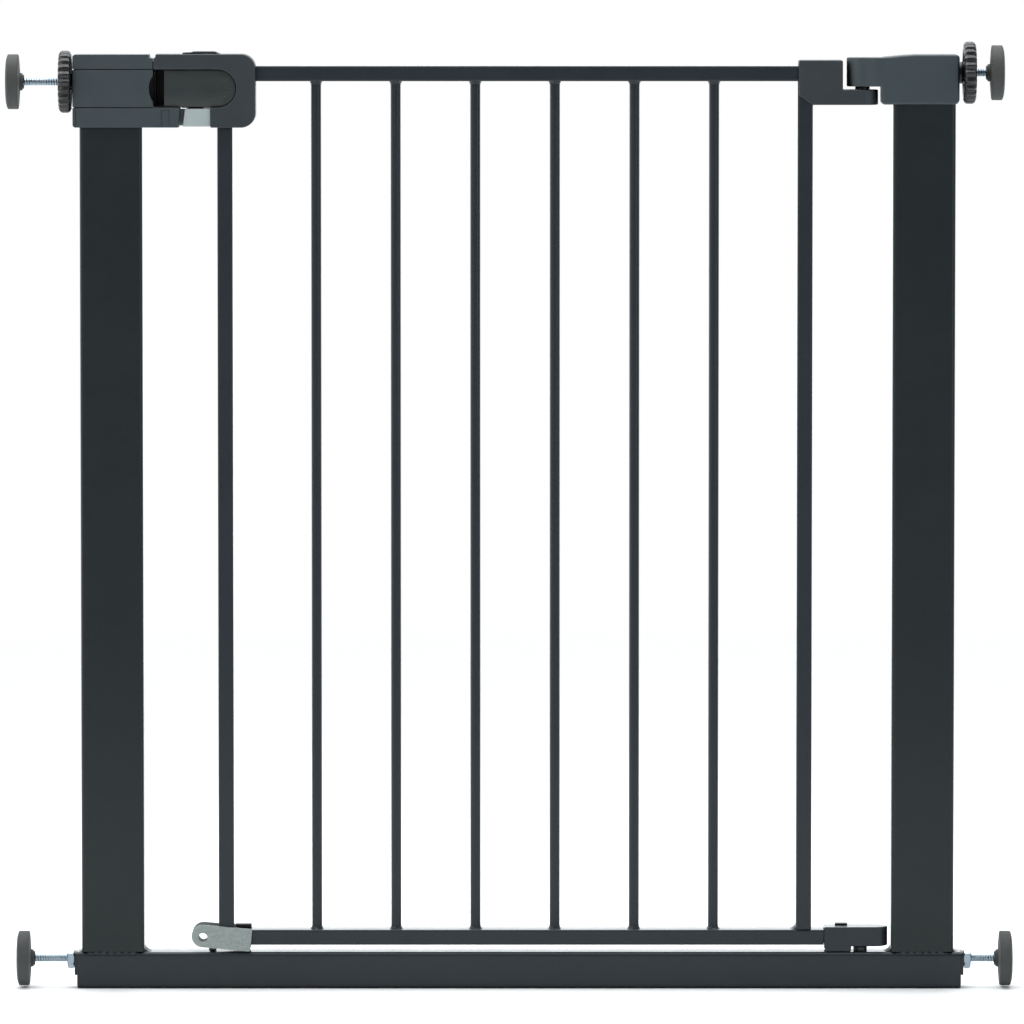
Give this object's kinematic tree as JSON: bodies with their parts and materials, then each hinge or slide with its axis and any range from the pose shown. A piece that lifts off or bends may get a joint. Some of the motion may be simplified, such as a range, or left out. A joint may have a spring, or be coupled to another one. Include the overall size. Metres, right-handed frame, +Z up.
{
  "type": "safety gate",
  "caption": "Pressure-fit doorway safety gate: barred leaf that lifts and swings in a U-shaped frame, held between walls by screw-out pads.",
  "frame": {"origin": "on the floor, at the middle of the threshold's underside", "axes": "+X along the gate from the latch post to the hinge post, +Y towards the back, +Z up"},
  "size_m": [0.7863, 0.0484, 0.7402],
  "materials": {
    "powder_coat": "dark grey powder coat, fine orange peel",
    "cap_plastic": "moulded, fine grain",
    "housing_plastic": "moulded, fine grain",
    "lever_plastic": "moulded, satin",
    "dark_plastic": "moulded",
    "light_plastic": "moulded, satin",
    "zinc": "zinc plated",
    "bracket_steel": "plated sheet steel",
    "pad_rubber": "soft grip rubber"
  },
  "bodies": {
    "frame": {"threshold_bar": "powder_coat", "threshold_plug_left": "dark_plastic", "threshold_plug_right": "dark_plastic", "left_post": "powder_coat", "right_post": "powder_coat", "left_post_cap": "cap_plastic", "right_post_cap": "cap_plastic", "left_cap_screw": "zinc", "right_cap_screw": "zinc", "spindle_bush_top_left": "dark_plastic", "spindle_bush_top_right": "dark_plastic", "upper_hinge_pin": "zinc", "lower_hinge_pin": "dark_plastic", "floor_stop_tab": "powder_coat"},
    "pivot": {"upper_hinge_bush": "dark_plastic"},
    "leaf": {"top_rail": "powder_coat", "bottom_rail": "powder_coat", "latch_stile": "powder_coat", "hinge_stile": "powder_coat", "bar_1": "powder_coat", "bar_2": "powder_coat", "bar_3": "powder_coat", "bar_4": "powder_coat", "bar_5": "powder_coat", "bar_6": "powder_coat", "handle_housing_front": "housing_plastic", "handle_housing_rear": "housing_plastic", "housing_screw_upper": "zinc", "housing_screw_lower": "zinc", "latch_bracket": "bracket_steel", "upper_hinge_block": "housing_plastic", "hinge_block_screw": "zinc", "lower_hinge_bracket": "powder_coat", "lower_hinge_bush": "dark_plastic"},
    "release": {"latch_bolt": "light_plastic", "thumb_button": "housing_plastic", "bolt_spring": "zinc"},
    "slider": {"lock_slider": "lever_plastic", "slider_spring": "zinc"},
    "spindle_top_left": {"spindle_top_left": "zinc", "wall_pad_top_left": "pad_rubber"},
    "wheel_top_left": {"hand_wheel_top_left": "dark_plastic"},
    "spindle_top_right": {"spindle_top_right": "zinc", "wall_pad_top_right": "pad_rubber"},
    "wheel_top_right": {"hand_wheel_top_right": "dark_plastic"},
    "spindle_bottom_left": {"spindle_bottom_left": "zinc", "wall_pad_bottom_left": "pad_rubber"},
    "nut_bottom_left": {"hex_nut_bottom_left": "zinc"},
    "spindle_bottom_right": {"spindle_bottom_right": "zinc", "wall_pad_bottom_right": "pad_rubber"},
    "nut_bottom_right": {"hex_nut_bottom_right": "zinc"}
  },
  "joints": [
    {"name": "leaf_swing", "type": "hinge", "parent": "frame", "child": "pivot", "pos_m": [0.2675, 0, 0.7032], "axis": [0, 0, 1], "range_deg": [-90, 90]},
    {"name": "leaf_lift", "type": "hinge", "parent": "pivot", "child": "leaf", "pos_m": [0.2675, 0, 0.7032], "axis": [0, 1, 0], "range_deg": [0, 0.9]},
    {"name": "release_slide", "type": "slide", "parent": "leaf", "child": "release", "axis": [1, 0, 0], "range_m": [0, 0.0045], "stiffness_N_per_m": 300, "springref_m": -0.006, "deforming": ["bolt_spring"]},
    {"name": "lock_slide", "type": "slide", "parent": "leaf", "child": "slider", "axis": [-1, 0, 0], "range_m": [0, 0.005], "stiffness_N_per_m": 250, "springref_m": -0.006, "deforming": ["slider_spring"]},
    {"name": "top_left_wheel_turn", "type": "hinge", "parent": "frame", "child": "wheel_top_left", "pos_m": [-0.352, 0, 0.709], "axis": [-1, 0, 0], "range_deg": [-396, 4536]},
    {"name": "top_left_spindle_slide", "type": "slide", "parent": "frame", "child": "spindle_top_left", "axis": [-1, 0, 0], "range_m": [-0.025, 0.002]},
    {"name": "top_right_wheel_turn", "type": "hinge", "parent": "frame", "child": "wheel_top_right", "pos_m": [0.352, 0, 0.716], "axis": [1, 0, 0], "range_deg": [-3636, 1116]},
    {"name": "top_right_spindle_slide", "type": "slide", "parent": "frame", "child": "spindle_top_right", "axis": [1, 0, 0], "range_m": [-0.006, 0.02]},
    {"name": "bottom_left_nut_turn", "type": "hinge", "parent": "frame", "child": "nut_bottom_left", "pos_m": [-0.352, 0, 0.0224], "axis": [-1, 0, 0], "range_deg": [-1296, 4176]},
    {"name": "bottom_left_spindle_slide", "type": "slide", "parent": "frame", "child": "spindle_bottom_left", "axis": [-1, 0, 0], "range_m": [-0.023, 0.007]},
    {"name": "bottom_right_nut_turn", "type": "hinge", "parent": "frame", "child": "nut_bottom_right", "pos_m": [0.352, 0, 0.0224], "axis": [1, 0, 0], "range_deg": [-2556, 2916]},
    {"name": "bottom_right_spindle_slide", "type": "slide", "parent": "frame", "child": "spindle_bottom_right", "axis": [1, 0, 0], "range_m": [-0.016, 0.014]}
  ],
  "couplings": [
    {"joint": "top_left_wheel_turn", "follows": "top_left_spindle_slide", "rad_per_m": -3141.6},
    {"joint": "top_right_wheel_turn", "follows": "top_right_spindle_slide", "rad_per_m": -3141.6},
    {"joint": "bottom_left_nut_turn", "follows": "bottom_left_spindle_slide", "rad_per_m": -3141.6},
    {"joint": "bottom_right_nut_turn", "follows": "bottom_right_spindle_slide", "rad_per_m": -3141.6}
  ]
}
